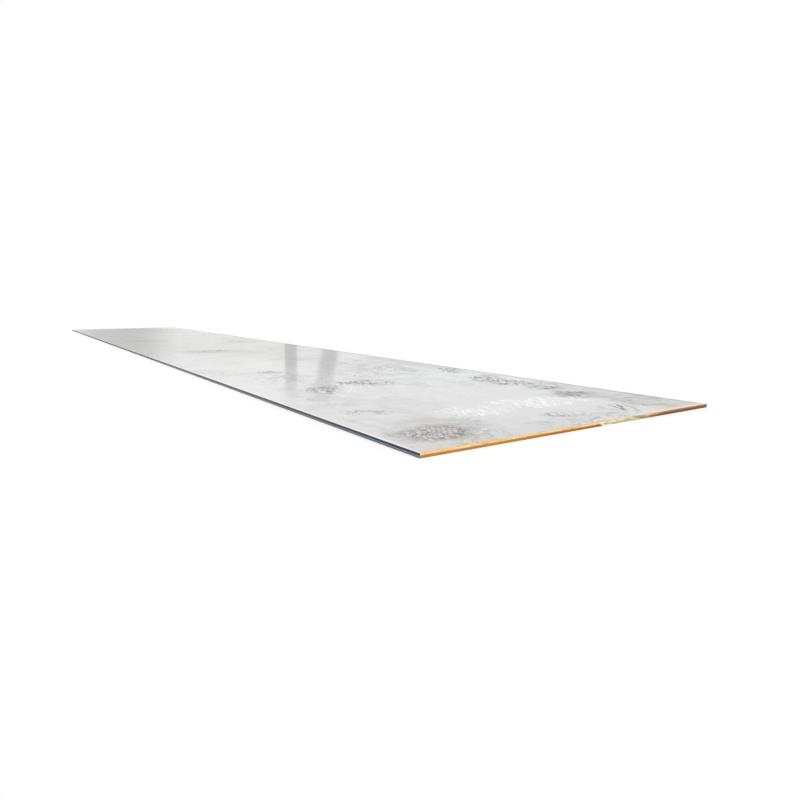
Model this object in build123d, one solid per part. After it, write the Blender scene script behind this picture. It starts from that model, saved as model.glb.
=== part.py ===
from build123d import *
import os

# One hot-rolled steel plate, cut to length from wide strip, lying flat on its underside.
#
# The long sides are as rolled: the middle stands out a little as a crown, and a rounded shoulder
# runs from the crown to each face. The short ends are sheared. Where the blade goes in, the face
# rolls over its edge; below that is a smooth upright land, and the rest has broken away and leans
# back. One end was cut from above and the other from below, as two cuts of one shear leave them.
#
# X is the rolling direction, Y the width and Z up. The origin is the middle of the underside.

# The plate, in millimetres, over its outermost points
PLATE_LENGTH = 12000.0
PLATE_WIDTH = 2000.0
PLATE_THICKNESS = 20.0

# A rolled long edge: how far its middle stands out, and the radius of its two shoulders
CROWN_RISE = 3.0
SHOULDER_RADIUS = 5.0

# A sheared end, from the face that the blade went in through
ROLLOVER_LENGTH = 3.0
ROLLOVER_DEPTH = 1.5
LAND_HEIGHT = 5.5
BREAK_LEAN = 1.4


def rolled_section():
    """The strip's section, seen along X: two flat faces between two rolled edges."""
    outermost = PLATE_WIDTH / 2
    face_end = outermost - CROWN_RISE
    middle = PLATE_THICKNESS / 2
    right_crown = ThreePointArc((face_end, 0), (outermost, middle), (face_end, PLATE_THICKNESS))
    left_crown = ThreePointArc((-face_end, PLATE_THICKNESS), (-outermost, middle), (-face_end, 0))
    underside = Line(left_crown @ 1, right_crown @ 0)
    top = Line(right_crown @ 1, left_crown @ 0)
    section = make_face([underside, right_crown, top, left_crown])
    return fillet(section.vertices(), SHOULDER_RADIUS)


def end_cut_from_above():
    """The three edges of the sheared end at +X, seen from the plate's side, from the top down."""
    outermost = PLATE_LENGTH / 2
    land_top = PLATE_THICKNESS - ROLLOVER_DEPTH
    land_bottom = land_top - LAND_HEIGHT
    rollover_centre = (outermost - ROLLOVER_LENGTH, land_top)
    rollover = EllipticalCenterArc(rollover_centre, ROLLOVER_LENGTH, ROLLOVER_DEPTH, arc_size=90)
    land = Line((outermost, land_top), (outermost, land_bottom))
    broken_face = Line(land @ 1, (outermost - BREAK_LEAN, 0))
    return [rollover, land, broken_face]


def sheared_outline():
    """The plate seen from its side. The end at -X is the end at +X, turned upside down."""
    cut_from_above = end_cut_from_above()
    middle_axis = Axis((0, PLATE_THICKNESS / 2, 0), (0, 0, 1))
    cut_from_below = [edge.rotate(middle_axis, 180) for edge in cut_from_above]
    top = Line(cut_from_above[0] @ 1, cut_from_below[-1] @ 1)
    underside = Line(cut_from_below[0] @ 1, cut_from_above[-1] @ 1)
    return make_face([top, *cut_from_below, underside, *cut_from_above])


def steel_plate():
    """What the rolled strip and the sheared blank share. Each is twice as long as it needs to be
    along its own direction, so that each one trims the other."""
    behind = Plane.YZ.offset(-PLATE_LENGTH)
    strip = extrude(behind * rolled_section(), 2 * PLATE_LENGTH)
    beside = Plane.XZ.offset(-PLATE_WIDTH)
    sheared_blank = extrude(beside * sheared_outline(), 2 * PLATE_WIDTH)
    return strip & sheared_blank


os.makedirs("parts", exist_ok=True)
export_step(steel_plate(), "parts/steel_plate.step")
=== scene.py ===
"""Looks of one hot-rolled steel plate: pale mill scale, slate rolled edges and rusty sheared ends.

X is the rolling direction, Y the width and Z up, in metres. The near end, at +X, was cut from
above, and the far end from below.
"""

import logging
import math
from dataclasses import dataclass
from enum import Enum, IntEnum
from functools import reduce
from typing import Mapping, Sequence, Union

import bmesh
import bpy
import numpy as np
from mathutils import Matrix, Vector


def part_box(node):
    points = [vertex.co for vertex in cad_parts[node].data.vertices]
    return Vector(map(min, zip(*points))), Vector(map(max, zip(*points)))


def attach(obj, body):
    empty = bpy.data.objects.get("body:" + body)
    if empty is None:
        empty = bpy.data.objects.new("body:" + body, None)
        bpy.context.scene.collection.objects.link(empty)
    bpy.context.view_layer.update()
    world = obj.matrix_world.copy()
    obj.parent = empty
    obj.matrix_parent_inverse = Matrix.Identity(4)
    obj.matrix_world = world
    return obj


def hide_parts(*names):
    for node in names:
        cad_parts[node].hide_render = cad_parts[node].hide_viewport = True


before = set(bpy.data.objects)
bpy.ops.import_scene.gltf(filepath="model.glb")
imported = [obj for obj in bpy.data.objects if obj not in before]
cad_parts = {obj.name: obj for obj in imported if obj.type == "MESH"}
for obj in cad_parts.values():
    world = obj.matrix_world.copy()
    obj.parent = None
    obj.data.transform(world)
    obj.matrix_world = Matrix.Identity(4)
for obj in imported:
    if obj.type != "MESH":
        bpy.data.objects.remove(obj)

LOG = logging.getLogger("steel_plate")
NODE = "steel_plate"
BODY = "root"
MILLIMETRE = 0.001
SAME_POINT = 1e-4 * MILLIMETRE
SHARP_DEG = 38.0
WHITE = (1.0, 1.0, 1.0)

# Clouds to a metre of height in a pattern on the rolled faces, so that the two faces differ
FACE_PATTERN_Z = 40.0

# A well-known hash of a place: the fraction of a large multiple of a sine
HASH_PACES = np.array([[12.9898, 39.346], [78.233, 11.135]])
HASH_SCALE = 43758.5453

RGB = tuple[float, float, float]
Number = Union[float, "Value"]
Owner = Union[bpy.types.Material, bpy.types.World]


def srgb(red: int, green: int, blue: int) -> RGB:
    """Linear light of a colour that is written in screen values.

    Args:
        red: Screen value, 0 to 255.
        green: Screen value, 0 to 255.
        blue: Screen value, 0 to 255.

    Returns:
        The three linear values.
    """
    screen = np.array([red, green, blue]) / 255
    linear = np.where(screen <= 0.04045, screen / 12.92, ((screen + 0.055) / 1.055) ** 2.4)
    return tuple(float(part) for part in linear)


def smooth(values: np.ndarray, low: float, high: float) -> np.ndarray:
    """Smooth step: 3 t^2 - 2 t^3, where t goes from 0 at low to 1 at high and is held outside.

    Args:
        values: Where to work it out.
        low: Value at which the step starts.
        high: Value at which the step is done.

    Returns:
        The step, 0 to 1, in the shape of values.
    """
    t = np.clip((values - low) / (high - low), 0, 1)
    return t * t * (3 - 2 * t)


def ripples(points: np.ndarray, wavelengths: Sequence[float], seed: int) -> np.ndarray:
    """Mean of plane waves: sin(2 pi (p . d) / w + phase), each w with its own direction d and phase.

    Args:
        points: One row for each point, in any number of dimensions.
        wavelengths: Length of each wave, in metres.
        seed: Seed of the directions and phases.

    Returns:
        One value for each point, between -1 and 1.
    """
    dice = np.random.default_rng(seed)
    directions = dice.normal(size=(len(wavelengths), points.shape[1]))
    directions /= np.linalg.norm(directions, axis=1, keepdims=True)
    phases = dice.uniform(0, 2 * np.pi, len(wavelengths))
    pace = 2 * np.pi * directions / np.asarray(wavelengths)[:, None]
    return np.sin(points @ pace.T + phases).mean(axis=1)


class Face(Enum):
    """The three kinds of surface on the plate, in the order of its material slots."""

    ROLLED_FACE = 0
    ROLLED_EDGE = 1
    SHEARED_END = 2


class Seed(IntEnum):
    """Seeds of the random waves. An end or an edge adds its sign, 1 or -1."""

    FACE = 11
    LAND = 31
    EDGE_WANDER = 41
    EDGE_HUMPS = 51
    LAP = 61
    TORN = 71


class Wire:
    """One socket in a shader tree, which Python expressions can use."""

    def __init__(self, tree: "ShaderTree", socket: bpy.types.NodeSocket) -> None:
        """Keeps the tree and the socket."""
        self.tree = tree
        self.socket = socket


class Value(Wire):
    """A number that varies over the surface. Each operator adds one Math node."""

    def _math(self, operation: str, *values: Number) -> "Value":
        """The result of a Math node on the given values."""
        made = self.tree.node("ShaderNodeMath", {"operation": operation}, dict(enumerate(values)))
        return Value(self.tree, made.outputs[0])

    def __add__(self, other: Number) -> "Value":
        """self + other, and other + self."""
        return self._math("ADD", self, other)

    def __sub__(self, other: Number) -> "Value":
        """self - other."""
        return self._math("SUBTRACT", self, other)

    def __rsub__(self, other: Number) -> "Value":
        """other - self."""
        return self._math("SUBTRACT", other, self)

    def __mul__(self, other: Number) -> "Value":
        """self * other, and other * self."""
        return self._math("MULTIPLY", self, other)

    __radd__ = __add__
    __rmul__ = __mul__

    def __abs__(self) -> "Value":
        """Size of self without its sign."""
        return self._math("ABSOLUTE", self)

    def at_least(self, other: Number) -> "Value":
        """The larger of self and other."""
        return self._math("MAXIMUM", self, other)

    def at_most(self, other: Number) -> "Value":
        """The smaller of self and other."""
        return self._math("MINIMUM", self, other)

    def rises(self, low: float, high: float) -> "Value":
        """Smooth step, through a Map Range node.

        Args:
            low: Value up to which the step is 0.
            high: Value from which it is 1.

        Returns:
            The step.
        """
        inputs = {"Value": self, "From Min": low, "From Max": high}
        made = self.tree.node("ShaderNodeMapRange", {"interpolation_type": "SMOOTHSTEP"}, inputs)
        return Value(self.tree, made.outputs["Result"])

    def falls(self, low: float, high: float) -> "Value":
        """Smooth step from 1 at low to 0 at high."""
        return 1.0 - self.rises(low, high)


class Arrow(Wire):
    """A vector that varies over the surface, such as a place in the plate's own frame."""

    def _vector_math(self, operation: str, *values: Union["Arrow", RGB]) -> "Arrow":
        """The result of a Vector Math node on the given vectors."""
        made = self.tree.node("ShaderNodeVectorMath", {"operation": operation}, dict(enumerate(values)))
        return Arrow(self.tree, made.outputs["Vector"])

    def __add__(self, other: Union["Arrow", RGB]) -> "Arrow":
        """self + other, and other + self."""
        return self._vector_math("ADD", self, other)

    def __sub__(self, other: Union["Arrow", RGB]) -> "Arrow":
        """self - other."""
        return self._vector_math("SUBTRACT", self, other)

    def __rsub__(self, other: RGB) -> "Arrow":
        """other - self."""
        return self._vector_math("SUBTRACT", other, self)

    def __mul__(self, other: Union["Arrow", RGB]) -> "Arrow":
        """self * other, and other * self, part by part."""
        return self._vector_math("MULTIPLY", self, other)

    __radd__ = __add__
    __rmul__ = __mul__

    def part(self, axis: str) -> Value:
        """The X, Y or Z part."""
        made = self.tree.node("ShaderNodeSeparateXYZ", {}, {"Vector": self})
        return Value(self.tree, made.outputs[axis])

    def length(self) -> Value:
        """The vector's length."""
        made = self.tree.node("ShaderNodeVectorMath", {"operation": "LENGTH"}, {0: self})
        return Value(self.tree, made.outputs["Value"])

    def placed(self, centre: RGB, half: RGB, turn_deg: float = 0.0) -> "Arrow":
        """The same place measured from a centre, along turned axes, in half sizes.

        Args:
            centre: The new origin.
            half: What counts as 1 along each turned axis.
            turn_deg: Turn about Z, in degrees.

        Returns:
            The place in the pattern's own measure.
        """
        turn = (0.0, 0.0, math.radians(turn_deg))
        inputs = {"Vector": self, "Location": centre, "Rotation": turn, "Scale": half}
        made = self.tree.node("ShaderNodeMapping", {"vector_type": "TEXTURE"}, inputs)
        return Arrow(self.tree, made.outputs["Vector"])

    def on_face(self, per_x: float, per_y: float, start: Sequence[float] = ()) -> "Arrow":
        """The same place in a pattern on the rolled faces.

        Args:
            per_x: Clouds to a metre along X.
            per_y: Clouds to a metre along Y.
            start: Where the pattern starts, so that no two patterns are alike.

        Returns:
            The place in the pattern's own measure.
        """
        spread = self * (per_x, per_y, FACE_PATTERN_Z)
        return spread + (*start, 0.0) if start else spread

    def stroked(self, length: float, width: float, turn_deg: float) -> "Arrow":
        """The same place in a pattern of strokes of that length and width, turned about Z."""
        return self.placed((0.0, 0.0, 0.0), (length, width, 1.0), turn_deg)

    def noise(self, detail: float = 4.0, roughness: float = 0.55, warp: float = 0.0) -> Value:
        """Cloudy noise, about 0.25 to 0.75, with one cloud to each unit of the vector.

        Args:
            detail: How many finer octaves it has.
            roughness: How strong each octave is beside the one before.
            warp: How far the clouds are drawn out of shape.

        Returns:
            The noise.
        """
        inputs = {"Vector": self, "Scale": 1.0, "Detail": detail, "Roughness": roughness, "Distortion": warp}
        return Value(self.tree, self.tree.node("ShaderNodeTexNoise", {}, inputs).outputs["Fac"])

    def crackle(self) -> Value:
        """Distance to the border of the nearest of random cells, one to each unit of the vector."""
        return self._nearest("DISTANCE_TO_EDGE")

    def dots(self) -> Value:
        """Distance to the nearest of random points, one to each unit of the vector."""
        return self._nearest("F1")

    def _nearest(self, feature: str) -> Value:
        """Distance to a feature of random cells."""
        made = self.tree.node("ShaderNodeTexVoronoi", {"feature": feature}, {"Vector": self, "Scale": 1.0})
        return Value(self.tree, made.outputs["Distance"])


class Colour(Wire):
    """A colour that varies over the surface."""

    def under(self, mask: Number, top: Union["Colour", RGB]) -> "Colour":
        """This colour, covered by another one where the mask is 1."""
        return self._mixed("MIX", mask, top)

    def times(self, strength: Value) -> "Colour":
        """This colour made lighter or darker."""
        return self._mixed("MULTIPLY", 1.0, strength)

    def _mixed(self, blend: str, mask: Number, top: Union["Colour", Value, RGB]) -> "Colour":
        """This colour and another one, through a Mix node.

        Args:
            blend: How the node blends them.
            mask: How much the blend counts.
            top: The other colour.

        Returns:
            The mixed colour.
        """
        settings = {"data_type": "RGBA", "blend_type": blend}
        inputs = {"Factor_Float": mask, "A_Color": self, "B_Color": top}
        made = self.tree.node("ShaderNodeMix", settings, inputs)
        return Colour(self.tree, self.tree.socket(made.outputs, "Result_Color"))


class ShaderTree:
    """The nodes of a new material or world, and the ways to add to them."""

    def __init__(self, owner: Owner) -> None:
        """Takes the material or world over and empties its nodes.

        Args:
            owner: The new material or world.
        """
        owner.use_nodes = True
        self.owner = owner
        self.nodes = owner.node_tree.nodes
        self.links = owner.node_tree.links
        self.nodes.clear()

    @classmethod
    def of_material(cls, name: str) -> "ShaderTree":
        """The empty tree of a new material."""
        return cls(bpy.data.materials.new(name))

    @staticmethod
    def socket(sockets: Sequence[bpy.types.NodeSocket], key: Union[int, str]) -> bpy.types.NodeSocket:
        """One of a node's sockets.

        Args:
            sockets: The node's inputs or outputs.
            key: The socket's place, its identifier or its name.

        Returns:
            The socket.
        """
        exact = [socket for socket in sockets if socket.identifier == key]
        return exact[0] if exact else sockets[key]

    def node(self, kind: str, settings: Mapping, inputs: Mapping) -> bpy.types.Node:
        """Adds a node.

        Args:
            kind: The node's type.
            settings: Its own properties, set before its sockets. stops holds a ramp's stops.
            inputs: Values or links of its sockets, by place, name or identifier.

        Returns:
            The new node.
        """
        made = self.nodes.new(kind)
        for name, value in settings.items():
            if name == "stops":
                self._set_stops(made.color_ramp, value)
            else:
                setattr(made, name, value)
        for key, value in inputs.items():
            socket = self.socket(made.inputs, key)
            if isinstance(value, Wire):
                self.links.new(value.socket, socket)
            elif socket.type == "RGBA":
                socket.default_value = (*value, 1.0)
            else:
                socket.default_value = value
        return made

    @staticmethod
    def _set_stops(ramp: bpy.types.ColorRamp, stops: Sequence[tuple[float, RGB]]) -> None:
        """Gives a ramp its stops.

        Args:
            ramp: The new ramp.
            stops: Each stop's position and colour, from low to high.
        """
        while len(ramp.elements) < len(stops):
            ramp.elements.new(1.0)
        for element, (position, colour) in zip(ramp.elements, stops):
            element.position = position
            element.color = (*colour, 1.0)

    def place(self) -> Arrow:
        """The place on the plate, in its own frame."""
        made = self.node("ShaderNodeTexCoord", {}, {})
        return Arrow(self, made.outputs["Object"])

    def measure(self, name: str) -> Value:
        """A value that the mesh carries at its vertices."""
        made = self.node("ShaderNodeAttribute", {"attribute_name": name}, {})
        return Value(self, made.outputs["Fac"])

    def ramp(self, position: Value, stops: Sequence[tuple[float, RGB]]) -> Colour:
        """The colour at a position between a ramp's stops."""
        made = self.node("ShaderNodeValToRGB", {"stops": stops}, {"Fac": position})
        return Colour(self, made.outputs["Color"])

    def rays(self, *kinds: str) -> Value:
        """1 for light rays of certain kinds and 0 for all others.

        Args:
            kinds: The kinds, such as Camera or Glossy.

        Returns:
            The mask.
        """
        path = self.node("ShaderNodeLightPath", {}, {})
        return reduce(Value.at_least, [Value(self, path.outputs[f"Is {kind} Ray"]) for kind in kinds])

    def mixed(self, mask: Value, under: bpy.types.Node, over: bpy.types.Node) -> bpy.types.Node:
        """A Mix Shader that shows one shader where the mask is 0 and the other where it is 1."""
        inputs = {0: mask, 1: Wire(self, under.outputs[0]), 2: Wire(self, over.outputs[0])}
        return self.node("ShaderNodeMixShader", {}, inputs)

    def finish(self, shader: bpy.types.Node) -> Owner:
        """Puts a shader on the owner's surface.

        Args:
            shader: The last shader node.

        Returns:
            The finished material or world.
        """
        kind = "World" if isinstance(self.owner, bpy.types.World) else "Material"
        self.node(f"ShaderNodeOutput{kind}", {}, {"Surface": Wire(self, shader.outputs[0])})
        return self.owner


class Look:
    """A surface that is laid up in layers, each over the last, and then shaded."""

    LEAST_ROUGHNESS = 0.05
    OIL_ROUGHNESS = 0.1

    def __init__(
        self, place: Arrow, colour: Colour, roughness: Value, metallic: Value, coat: Number = 0.0
    ) -> None:
        """Starts from the bare surface.

        Args:
            place: The place on the plate, which the surface's patterns follow.
            colour: The bare surface's colour.
            roughness: Its roughness.
            metallic: Its metallic value.
            coat: How much it has of a thin film of mill oil.
        """
        self.tree = place.tree
        self.place = place
        self.colour = colour
        self.roughness = roughness
        self.metallic = metallic
        self.coat = coat
        self.height: Union[Value, None] = None

    def lay(
        self,
        mask: Value,
        colour: Union[Colour, RGB, None] = None,
        roughness: Union[Number, None] = None,
        metallic: Union[Number, None] = None,
        coat: Union[Number, None] = None,
    ) -> None:
        """Covers the surface with another layer where the mask is 1.

        Args:
            mask: Where the layer lies.
            colour: The layer's colour, if it changes.
            roughness: The layer's roughness, if it changes.
            metallic: The layer's metallic value, if it changes.
            coat: How much of the oil film is left on the layer, if it changes.
        """
        if colour is not None:
            self.colour = self.colour.under(mask, colour)
        if roughness is not None:
            self.roughness = self.roughness + (roughness - self.roughness) * mask
        if metallic is not None:
            self.metallic = self.metallic + (metallic - self.metallic) * mask
        if coat is not None:
            self.coat = self.coat + (coat - self.coat) * mask

    def shade(self, strength: Value) -> None:
        """Makes the colour lighter or darker."""
        self.colour = self.colour.times(strength)

    def raise_by(self, height: Value) -> None:
        """Adds relief, in metres."""
        self.height = height if self.height is None else self.height + height

    def finished(self) -> bpy.types.Material:
        """Shades the layers.

        Returns:
            The finished material.
        """
        inputs = {
            "Base Color": self.colour,
            "Roughness": self.roughness.at_least(self.LEAST_ROUGHNESS).at_most(1.0),
            "Metallic": self.metallic,
            "Coat Weight": self.coat,
            "Coat Roughness": self.OIL_ROUGHNESS,
        }
        if self.height is not None:
            bump = self.tree.node("ShaderNodeBump", {}, {"Distance": 1.0, "Height": self.height})
            inputs["Normal"] = Arrow(self.tree, bump.outputs["Normal"])
        return self.tree.finish(self.tree.node("ShaderNodeBsdfPrincipled", {}, inputs))


@dataclass(frozen=True)
class PlateSizes:
    """The plate's sizes. Those of its edges and ends are the construction's own."""

    length: float
    width: float
    thickness: float
    crown_rise: float = 3.0 * MILLIMETRE
    shoulder_radius: float = 5.0 * MILLIMETRE
    rollover_length: float = 3.0 * MILLIMETRE
    rollover_depth: float = 1.5 * MILLIMETRE
    land_height: float = 5.5 * MILLIMETRE
    break_lean: float = 1.4 * MILLIMETRE

    @classmethod
    def from_frame(cls) -> "PlateSizes":
        """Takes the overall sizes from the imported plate."""
        low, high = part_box(NODE)
        return cls(*(high - low))

    @property
    def half_length(self) -> float:
        """From the middle to an end's land."""
        return self.length / 2

    @property
    def half_width(self) -> float:
        """From the middle to a rolled edge's crown."""
        return self.width / 2

    @property
    def land_bottom(self) -> float:
        """Height of the land's lower border, at the end cut from above."""
        return self.thickness - self.rollover_depth - self.land_height

    def edge_inset(self, height: np.ndarray) -> np.ndarray:
        """How far a rolled edge lies inside its crown's outermost line, at each height.

        The crown is an arc of radius R = (t^2 / 4 + c^2) / (2 c) through both faces' ends, where t is
        the thickness and c the rise: inset R - sqrt(R^2 - h^2), h from the middle. Each shoulder is
        an arc of radius r inside it, its centre r below the face: inset s - sqrt(r^2 - (h - hc)^2).

        Args:
            height: Heights above the underside.

        Returns:
            The inset at each height.
        """
        half = self.thickness / 2
        crown = (half**2 + self.crown_rise**2) / (2 * self.crown_rise)
        centre = half - self.shoulder_radius
        across = crown - math.sqrt((crown - self.shoulder_radius) ** 2 - centre**2)
        meets = centre * crown / (crown - self.shoulder_radius)
        from_middle = np.abs(height - half)
        on_crown = crown - np.sqrt(crown**2 - np.minimum(from_middle, meets) ** 2)
        rise = np.clip(from_middle - centre, 0, self.shoulder_radius)
        on_shoulder = across - np.sqrt(self.shoulder_radius**2 - rise**2)
        return np.where(from_middle > meets, on_shoulder, on_crown)

    def end_inset(self, height: np.ndarray, land_bottom: Union[float, np.ndarray]) -> np.ndarray:
        """How far a sheared end lies inside its land, at each height above the face it broke out at.

        The rollover is a quarter ellipse: l (1 - sqrt(1 - u^2)), u from 0 to 1 over its depth. The
        land is 0. The broken face leans in evenly, from 0 at the land to its whole lean.

        Args:
            height: Heights above the face that broke out last.
            land_bottom: Height of the land's border, one value or one for each height.

        Returns:
            The inset at each height.
        """
        rollover_start = self.thickness - self.rollover_depth
        u = np.clip((height - rollover_start) / self.rollover_depth, 0, 1)
        rollover = self.rollover_length * (1 - np.sqrt(1 - u**2))
        return rollover + self.break_lean * np.clip(1 - height / land_bottom, 0, 1)


@dataclass(frozen=True)
class PlateRelief:
    """How the real plate departs from its plain form, always inwards: waves, laps and torn steel."""

    sizes: PlateSizes
    face_wave: float = 0.9 * MILLIMETRE
    face_waves: tuple[float, ...] = (0.45, 0.6, 0.8, 1.1, 1.5, 2.1, 3.0)
    edge_wander: float = 1.6 * MILLIMETRE
    edge_waves: tuple[float, ...] = (0.3, 0.5, 0.9, 1.4, 2.6)
    edge_border: float = 20.0 * MILLIMETRE
    hump_depth: float = 0.7 * MILLIMETRE
    hump_waves: tuple[float, ...] = (0.04, 0.06, 0.09, 0.14, 0.22)
    hump_flatness: float = 6.0
    lap_depth: float = 0.5 * MILLIMETRE
    lap_height: float = 0.4
    lap_wander: float = 0.1
    lap_waves: tuple[float, ...] = (0.35, 0.8, 2.0)
    lap_width: float = 0.07
    land_wander: float = 1.6 * MILLIMETRE
    land_waves: tuple[float, ...] = (0.012, 0.02, 0.035, 0.06, 0.11, 0.25, 0.6)
    land_softness: float = 0.3 * MILLIMETRE
    torn_depth: float = 0.7 * MILLIMETRE
    torn_waves: tuple[float, ...] = (0.009, 0.012, 0.016, 0.022, 0.03, 0.045)
    torn_flatness: float = 2.0

    def face_drop(self, x: np.ndarray, y: np.ndarray) -> np.ndarray:
        """How far the upper face lies below its highest: the mean of slow plane waves.

        Args:
            x: Places along the plate.
            y: Places across it.

        Returns:
            The drop at each place.
        """
        waves = ripples(np.stack([x, y], axis=1), self.face_waves, Seed.FACE)
        return self.face_wave * (1 + waves) / 2

    def land_border(self, y: np.ndarray, end: int) -> np.ndarray:
        """Height of the land's border along an end: its plain height plus a wandering line.

        Args:
            y: Places across the plate.
            end: 1 for the end at +X and -1 for the one at -X.

        Returns:
            The height above the face that broke out last, at each place.
        """
        line = ripples(y[:, None], self.land_waves, Seed.LAND + end)
        return self.sizes.land_bottom + self.land_wander * line

    def edge_depth(self, x: np.ndarray, height: np.ndarray, side: int) -> np.ndarray:
        """How far a rolled edge lies inside its plain form.

        The whole edge wanders in long waves. Between its shoulders there are also shallow humps and
        one lap line, a groove that wanders about two fifths of the way up.

        Args:
            x: Place along the edge.
            height: Height above the underside.
            side: 1 for the edge at +Y and -1 for the one at -Y.

        Returns:
            The depth at each place.
        """
        thickness = self.sizes.thickness
        wander = ripples(x[:, None], self.edge_waves, Seed.EDGE_WANDER + side)
        place = np.stack([x, self.hump_flatness * height], axis=1)
        humps = ripples(place, self.hump_waves, Seed.EDGE_HUMPS + side)
        line = self.lap_height + self.lap_wander * ripples(x[:, None], self.lap_waves, Seed.LAP + side)
        lap = np.exp(-(((height - thickness * line) / (self.lap_width * thickness)) ** 2))
        between = np.sin(np.pi * height / thickness)
        rough = self.hump_depth * (1 + humps) / 2 + self.lap_depth * lap
        return self.edge_wander * (1 + wander) / 2 + between * rough

    def torn(self, y: np.ndarray, height: np.ndarray, border: np.ndarray, end: int) -> np.ndarray:
        """Depth of the torn steel under the land: plane waves, fading to none at either border.

        Args:
            y: Places across the plate.
            height: Heights above the face that broke out last.
            border: Height of the land's border, at each place.
            end: 1 for the end at +X and -1 for the one at -X.

        Returns:
            The depth at each place.
        """
        place = np.stack([y, self.torn_flatness * height], axis=1)
        waves = ripples(place, self.torn_waves, Seed.TORN + end)
        inside = np.sin(np.pi * np.clip(height / border, 0, 1))
        return self.torn_depth * inside * (1 + waves) / 2

    def shaped(self, plain: np.ndarray) -> tuple[np.ndarray, np.ndarray]:
        """Moves the vertices of the plain form inwards by the relief.

        Args:
            plain: Vertices of the plain form, one row each.

        Returns:
            The moved vertices, and for each one how much it belongs to the land of its end.
        """
        x, y, z = plain.T
        sizes = self.sizes
        moved = plain.copy()
        moved[:, 2] -= self.face_drop(x, y) * z / sizes.thickness
        face_end = sizes.half_width - sizes.edge_inset(np.array([0.0]))[0]
        land = np.zeros(len(plain))
        for side in (-1, 1):
            near_edge = smooth(side * y, face_end - self.edge_border, face_end)
            moved[:, 1] -= side * near_edge * self.edge_depth(x, z, side)
        for end in (-1, 1):
            on_end = end * x > sizes.half_length - sizes.rollover_length - MILLIMETRE
            height = z if end > 0 else sizes.thickness - z
            border = self.land_border(y, end)
            inset = sizes.end_inset(height, border) + self.torn(y, height, border, end)
            moved[:, 0] = np.where(on_end, end * (sizes.half_length - inset), moved[:, 0])
            on_land = smooth(height - border, -self.land_softness, self.land_softness)
            land = np.where(on_end, on_land, land)
        return moved, land


class Patchwork:
    """Grids and fans of faces that are sewn into one closed mesh."""

    def __init__(self) -> None:
        """Starts with nothing."""
        self.points: list[np.ndarray] = []
        self.faces: list[np.ndarray] = []
        self.kinds: list[np.ndarray] = []
        self.count = 0

    def _add(self, points: np.ndarray, faces: Sequence[np.ndarray], kind: Face) -> None:
        """Adds points and the faces between them.

        Args:
            points: The new points, one row each.
            faces: Groups of faces, each with one row of point numbers for each face.
            kind: The kind of surface.
        """
        self.points.append(points)
        for group in faces:
            self.faces.append(group + self.count)
            self.kinds.append(np.full(len(group), kind.value))
        self.count += len(points)

    def grid(self, points: np.ndarray, kind: Face) -> None:
        """Adds a grid of quads.

        Args:
            points: The grid's points, as rows, columns and coordinates.
            kind: The kind of surface.
        """
        rows, columns = points.shape[:2]
        index = np.arange(rows * columns).reshape(rows, columns)
        corners = (index[:-1, :-1], index[1:, :-1], index[1:, 1:], index[:-1, 1:])
        quads = np.stack([corner.ravel() for corner in corners], axis=1)
        self._add(points.reshape(-1, 3), [quads], kind)

    def fans(self, fine: np.ndarray, coarse: np.ndarray, kind: Face) -> None:
        """Joins a fine row of points to a coarse one. Their first and last cells match one to one.

        Each other coarse cell has as many fine cells as the next: the first half of those fan out
        from its first corner, the second half from its second, and one triangle fills the middle.

        Args:
            fine: Points of the fine row.
            coarse: Points of the coarse row.
            kind: The kind of surface.
        """
        cells = len(coarse) - 3
        share = (len(fine) - 3) // cells
        start = len(fine)
        step = np.arange(cells * share)
        cell, within = step // share, step % share
        apex = start + 1 + cell + (within >= share // 2)
        slices = np.stack([1 + step, 2 + step, apex], axis=1)
        each = np.arange(cells)
        middles = np.stack([start + 1 + each, start + 2 + each, 1 + each * share + share // 2], axis=1)
        last, end = len(fine) - 1, start + len(coarse) - 1
        margins = np.array([[0, 1, start + 1, start], [last - 1, last, end, end - 1]])
        self._add(np.concatenate([fine, coarse]), [slices, middles, margins], kind)

    def sewn(self) -> tuple[np.ndarray, list[list[int]], np.ndarray]:
        """Merges the points that patches share.

        Returns:
            The points, the faces and each face's kind.
        """
        points = np.concatenate(self.points)
        keys = np.round(points / SAME_POINT).astype(np.int64)
        _, first, place = np.unique(keys, axis=0, return_index=True, return_inverse=True)
        place = place.ravel()
        faces = [face for group in self.faces for face in place[group].tolist()]
        return points[first], faces, np.concatenate(self.kinds)


def closed_mesh(name: str, points: np.ndarray, faces: list[list[int]]) -> bpy.types.Mesh:
    """A mesh whose faces point outwards, shaded smooth except at its sharp edges.

    Args:
        name: The mesh's name.
        points: Its vertices, one row each.
        faces: Its faces' vertices.

    Returns:
        The mesh, with faces and vertices in the given order.
    """
    mesh = bpy.data.meshes.new(name)
    mesh.from_pydata(points.tolist(), [], faces)
    work = bmesh.new()
    work.from_mesh(mesh)
    bmesh.ops.recalc_face_normals(work, faces=work.faces)
    work.to_mesh(mesh)
    work.free()
    mesh.shade_smooth()
    mesh.set_sharp_from_angle(angle=math.radians(SHARP_DEG))
    mesh.update()
    return mesh


def in_scene(name: str, data: bpy.types.ID) -> bpy.types.Object:
    """A new object for a mesh, a lamp or a camera, linked to the scene.

    Args:
        name: The object's name.
        data: What it shows.

    Returns:
        The object.
    """
    made = bpy.data.objects.new(name, data)
    bpy.context.scene.collection.objects.link(made)
    return made


def shown_piece(name: str, mesh: bpy.types.Mesh) -> bpy.types.Object:
    """An object at the origin that rides the plate's body.

    Args:
        name: The piece's name.
        mesh: Its finished mesh.

    Returns:
        The piece.
    """
    piece = in_scene(name, mesh)
    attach(piece, BODY)
    return piece


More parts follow.
